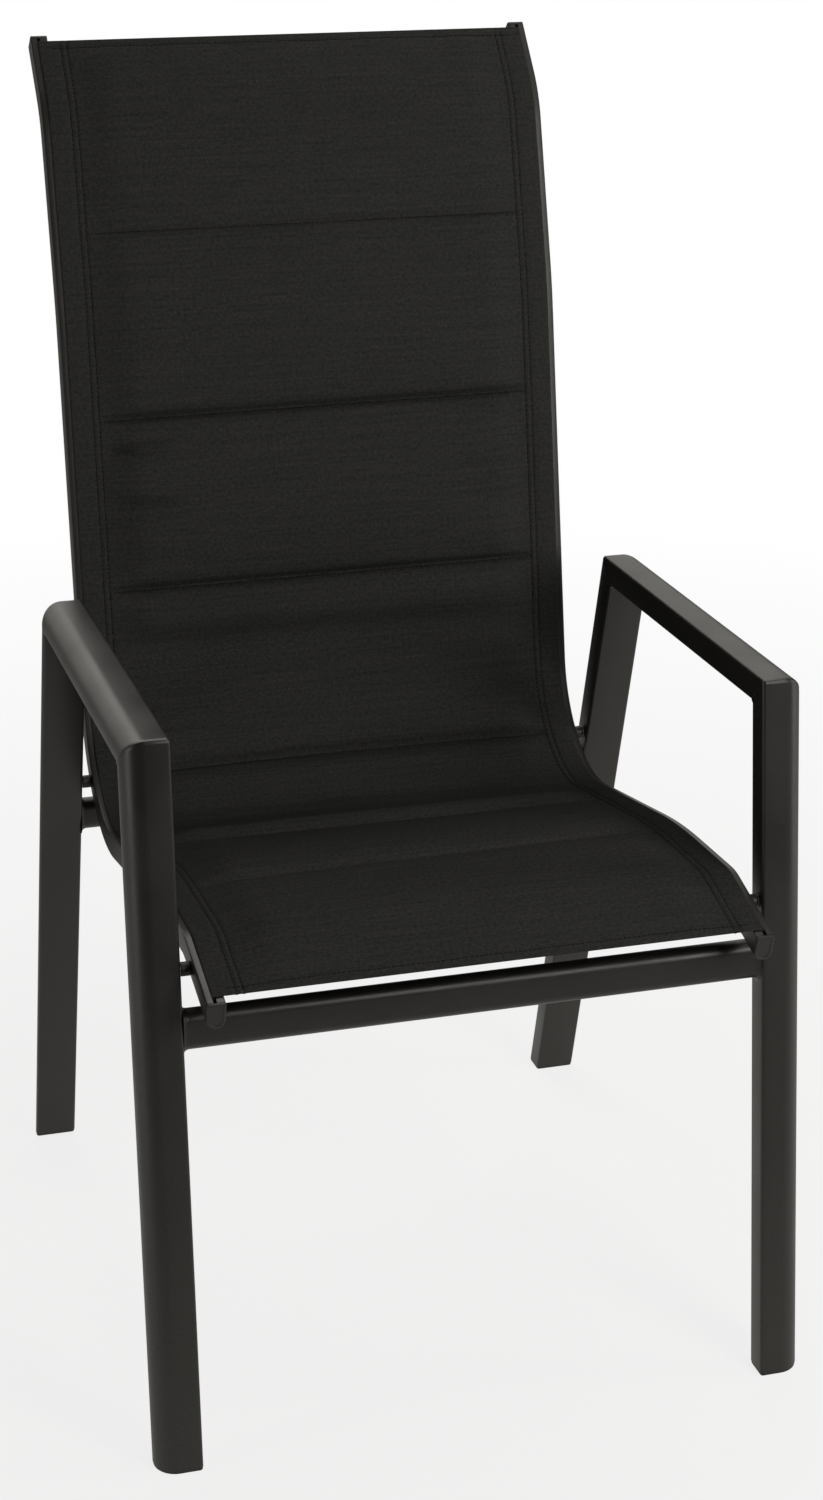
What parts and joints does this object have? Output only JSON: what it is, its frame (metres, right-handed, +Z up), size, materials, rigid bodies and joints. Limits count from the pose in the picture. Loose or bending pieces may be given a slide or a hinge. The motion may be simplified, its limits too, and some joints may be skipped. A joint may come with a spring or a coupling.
{
  "type": "sling patio chair",
  "caption": "High-back patio armchair with welded tube side frames, flat arms and a padded, cross-quilted mesh sling held between bent side rails.",
  "frame": {"origin": "on the floor, under the middle of the chair's bounding box", "axes": "+Z up, the sitter faces -Y, and X runs across the chair with +X on the sitter's left"},
  "size_m": [0.59, 0.7268, 1.1184],
  "materials": {
    "frame_coat": "charcoal satin powder coat on extruded tube",
    "sling_cloth": "black woven mesh, two layers with a thin pad between",
    "black_plastic": "moulded, fine matt grain",
    "fixing_steel": "zinc plated"
  },
  "bodies": {
    "root": {"left_arm": "frame_coat", "left_front_leg": "frame_coat", "left_rear_leg": "frame_coat", "left_front_foot_glide": "black_plastic", "left_rear_foot_glide": "black_plastic", "left_sling_rail": "frame_coat", "left_front_rail_cap": "black_plastic", "left_top_rail_cap": "black_plastic", "left_sling_edge_rod": "black_plastic", "left_spreader_plug": "black_plastic", "left_front_spacer": "black_plastic", "left_front_bolt": "fixing_steel", "left_front_rivet_nut": "fixing_steel", "left_rear_spacer": "black_plastic", "left_rear_bolt": "fixing_steel", "left_rear_rivet_nut": "fixing_steel", "right_arm": "frame_coat", "right_front_leg": "frame_coat", "right_rear_leg": "frame_coat", "right_front_foot_glide": "black_plastic", "right_rear_foot_glide": "black_plastic", "right_sling_rail": "frame_coat", "right_front_rail_cap": "black_plastic", "right_top_rail_cap": "black_plastic", "right_sling_edge_rod": "black_plastic", "right_spreader_plug": "black_plastic", "right_front_spacer": "black_plastic", "right_front_bolt": "fixing_steel", "right_front_rivet_nut": "fixing_steel", "right_rear_spacer": "black_plastic", "right_rear_bolt": "fixing_steel", "right_rear_rivet_nut": "fixing_steel", "front_cross_rail": "frame_coat", "rear_cross_rail": "frame_coat", "back_spreader_bar": "frame_coat", "padded_sling": "sling_cloth"}
  },
  "joints": []
}
